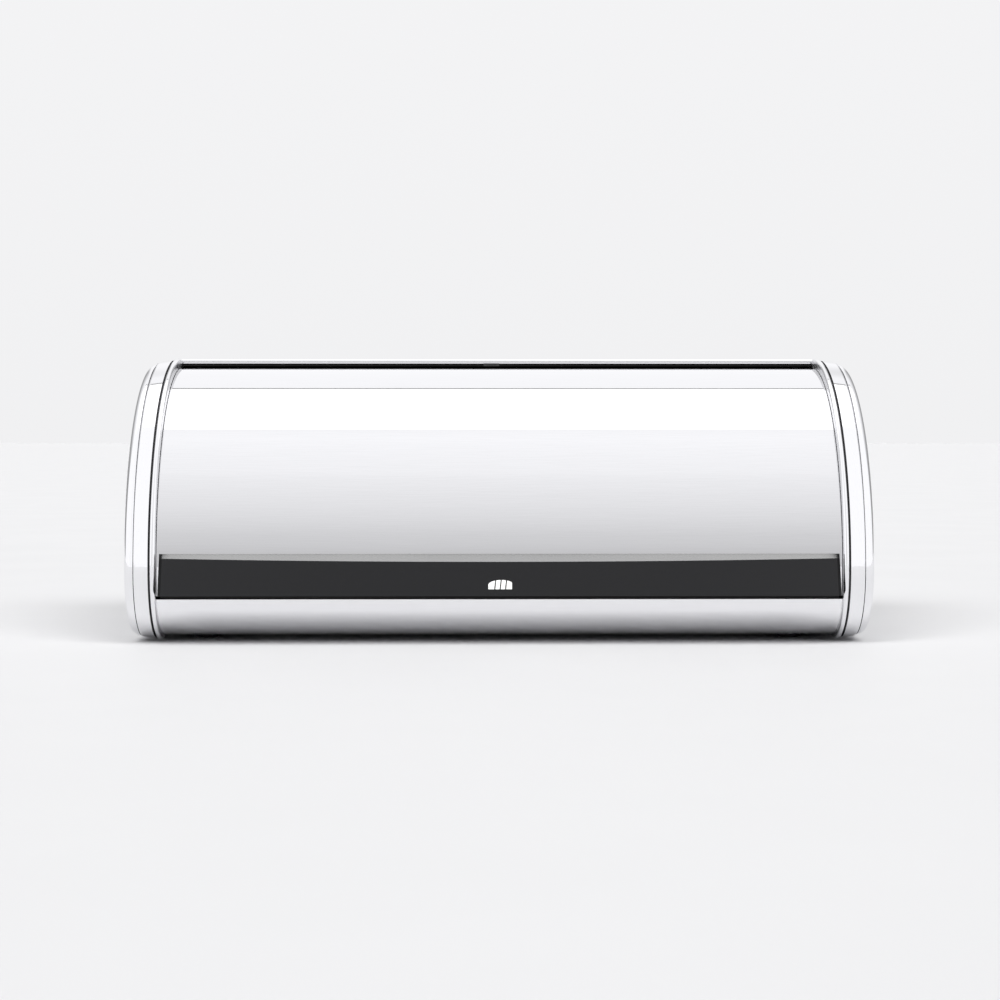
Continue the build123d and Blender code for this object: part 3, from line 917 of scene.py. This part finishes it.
def ramp(tree, value, stops, low=lowest, high=highest):
    """A faintly cool grey scale over a range of values; stops are (value, grey)."""
    share = add(tree, "ShaderNodeMapRange", {}, {"Value": value, "From Min": low, "From Max": high})
    node = add(tree, "ShaderNodeValToRGB", {}, {"Fac": share.outputs[0]})
    scale = node.color_ramp
    scale.interpolation = "LINEAR"
    while len(scale.elements) < len(stops):
        scale.elements.new(0.5)
    for element, (at, grey) in zip(scale.elements, stops):
        element.position = (at - low) / (high - low)
        element.color = (grey, grey, grey * 1.012, 1.0)
    return node.outputs["Color"]


def blend(tree, share, a, b):
    mixed = add(tree, "ShaderNodeMix", {"data_type": "RGBA"}, {"Factor": share, "A": a, "B": b})
    return mixed.outputs["Result"]


room = bpy.data.worlds.new("studio")
bpy.context.scene.world = room
room.use_nodes = True
air = room.node_tree
background = next(n for n in air.nodes if n.type == "BACKGROUND")
towards = add(air, "ShaderNodeSeparateXYZ", {}, {0: add(air, "ShaderNodeTexCoord").outputs["Generated"]})
ahead = maths(air, "MULTIPLY", towards.outputs["Y"], -1.0)


def degrees(value):
    """Radians in the world's tree, turned into degrees."""
    return maths(air, "MULTIPLY", value, 180 / math.pi)


def step_at(value, low, high):
    """0 below the low value, 1 above the high one, and a soft step between."""
    inputs = {"Value": value, "From Min": low, "From Max": high}
    return add(air, "ShaderNodeMapRange", {"interpolation_type": "SMOOTHSTEP"}, inputs).outputs[0]


height = degrees(maths(air, "ARCSINE", towards.outputs["Z"]))
over = degrees(maths(air, "ARCTAN2", towards.outputs["Z"], ahead))
aside = degrees(maths(air, "ARCSINE", maths(air, "ABSOLUTE", towards.outputs["X"])))
round_about = degrees(maths(air, "ABSOLUTE", maths(air, "ARCTAN2", towards.outputs["X"], ahead)))
front = ramp(air, over, [(angle, grey / steel_reflects) for angle, grey in front_light])
white_side = ramp(air, height, board_light)
back_glow = ramp(air, height, back_light)
dark_gap = ramp(air, height, gap_light)
glow = blend(air, step_at(aside, 10.5, 14.0), front, white_side)
behind = blend(air, step_at(round_about, 160.0, 167.0), dark_gap, back_glow)
glow = blend(air, step_at(round_about, 97.0, 103.0), glow, behind)
air.links.new(glow, background.inputs["Color"])
rays = add(air, "ShaderNodeLightPath")
fill = maths(air, "MULTIPLY_ADD", rays.outputs["Is Diffuse Ray"], fill_light - 1.0, 1.0)
air.links.new(fill, background.inputs["Strength"])


def plane(name, x0, x1, y0, y1, z, faces_down=False):
    """A flat rectangle, in metres."""
    mesh = bpy.data.meshes.new(name)
    ring = [(x0, y0, z), (x1, y0, z), (x1, y1, z), (x0, y1, z)]
    mesh.from_pydata(ring[::-1] if faces_down else ring, [], [[0, 1, 2, 3]])
    made = in_scene(name, mesh)
    return made


floor_finish, floor_tree, floor_shader, floor_place = start_finish("pale_table", "DEDEDF", 0.0, 0.6, 1.45)
floor_mottle = pattern(floor_tree, floor_place, 120.0, detail=2.0)
floor_tree.links.new(spread(floor_tree, floor_mottle, 0.55, 0.65), floor_shader.inputs["Roughness"])
floor_half = 30.0
floor = plane("floor", -floor_half, floor_half, -floor_half, floor_half, 0.0)
floor.data.materials.append(floor_finish)
print("floor at", floor.data.vertices[0].co.z)

# %% [markdown]
# ## The softbox
#
# One large softbox hangs over the bin, from just above the crown of the lid towards the back. The
# lid mirrors it as the broad white band on its upper part, and the sloping upper face of the
# handle mirrors it as the one bright line on the black. It is a glowing card that only reflections
# can see, so it gives no hard shadows. A thin dark frame closes its rear edge.

# %% Softbox
def card(name, x, y0, y1, z, strength):
    """A glowing rectangle that faces down and is seen in reflections only."""
    made = plane(name, -x, x, y0, y1, z, faces_down=True)
    material = bpy.data.materials.new(name)
    material.use_nodes = True
    tree = material.node_tree
    tree.nodes.clear()
    light = add(tree, "ShaderNodeEmission", {}, {"Strength": strength})
    target = add(tree, "ShaderNodeOutputMaterial")
    tree.links.new(light.outputs[0], target.inputs["Surface"])
    made.data.materials.append(material)
    made.visible_camera = False
    made.visible_diffuse = False
    made.visible_shadow = False
    return made


box_height, box_half, box_front, box_back, frame_width = 0.90, 0.66, -0.14, 0.458, 0.030
softbox = card("softbox", box_half, box_front, box_back, box_height, 1.7)
card("softbox_frame", box_half, box_back, box_back + frame_width, box_height, 0.45)
print("softbox from", softbox.data.vertices[0].co.y, "to", softbox.data.vertices[2].co.y)

# %% [markdown]
# ## Lamps
#
# Two soft suns shine from the front, left and right. They light the table evenly right up to the
# bin and let its shadow fall backwards, underneath. They are kept out of the mirror. Black plastic
# mirrors only a few hundredths of what it sees, so the bright line on the handle needs a far
# stronger lamp. That lamp is linked to the handle alone, and no other piece sees it.

# %% Lamps
def lamp(name, kind, place, aim, energy):
    """A lamp at a place, turned to shine at its aim and hidden from the camera."""
    light = bpy.data.lights.new(name, kind)
    light.energy = energy
    made = in_scene(name, light)
    made.location = place
    made.rotation_euler = (Vector(aim) - Vector(place)).to_track_quat("-Z", "Y").to_euler()
    made.visible_camera = False
    return made


sun_x, sun_y, sun_z, sun_energy, sun_spread = 0.6, -0.78, 1.17, 1.82, 36.0
suns = []
for side, sign in sides.items():
    sun = lamp("sun_" + side, "SUN", (sign * sun_x, sun_y, sun_z), (0, 0, 0), sun_energy)
    sun.data.angle = math.radians(sun_spread)
    sun.visible_glossy = False
    suns.append(sun)

lamp_y, below_box = 0.12, 0.03
line_lamp = lamp("handle_lamp", "AREA", (0, lamp_y, box_height - below_box), (0, lamp_y, 0), 34.0)
line_lamp.rotation_euler = (0, 0, 0)
line_lamp.data.shape = "RECTANGLE"
line_lamp.data.size, line_lamp.data.size_y = 1.4, 0.75
line_lamp.visible_diffuse = False
only_handle = bpy.data.collections.new("lit_by_handle_lamp")
only_handle.objects.link(grip)
line_lamp.light_linking.receiver_collection = only_handle
print("lamps:", [o.name for o in suns], line_lamp.name)

# %% [markdown]
# ## Camera
#
# A long lens from the front, a little above the middle of the bin and looking very slightly down.

# %% Camera
camera_x, camera_distance, camera_height = -0.0164, 1.301, 0.125
look_down, look_right = 1.7, 0.72  # degrees
lens = bpy.data.cameras.new("camera")
lens.lens = 79.5
lens.sensor_width = 36.0
camera = in_scene("camera", lens)
camera.location = (camera_x, front_y * MM - camera_distance, camera_height)
camera.rotation_euler = (math.radians(90 - look_down), 0, math.radians(-look_right))
bpy.context.scene.camera = camera
bpy.context.scene.view_settings.view_transform = "Standard"
print("camera at", [round(c, 4) for c in camera.location])
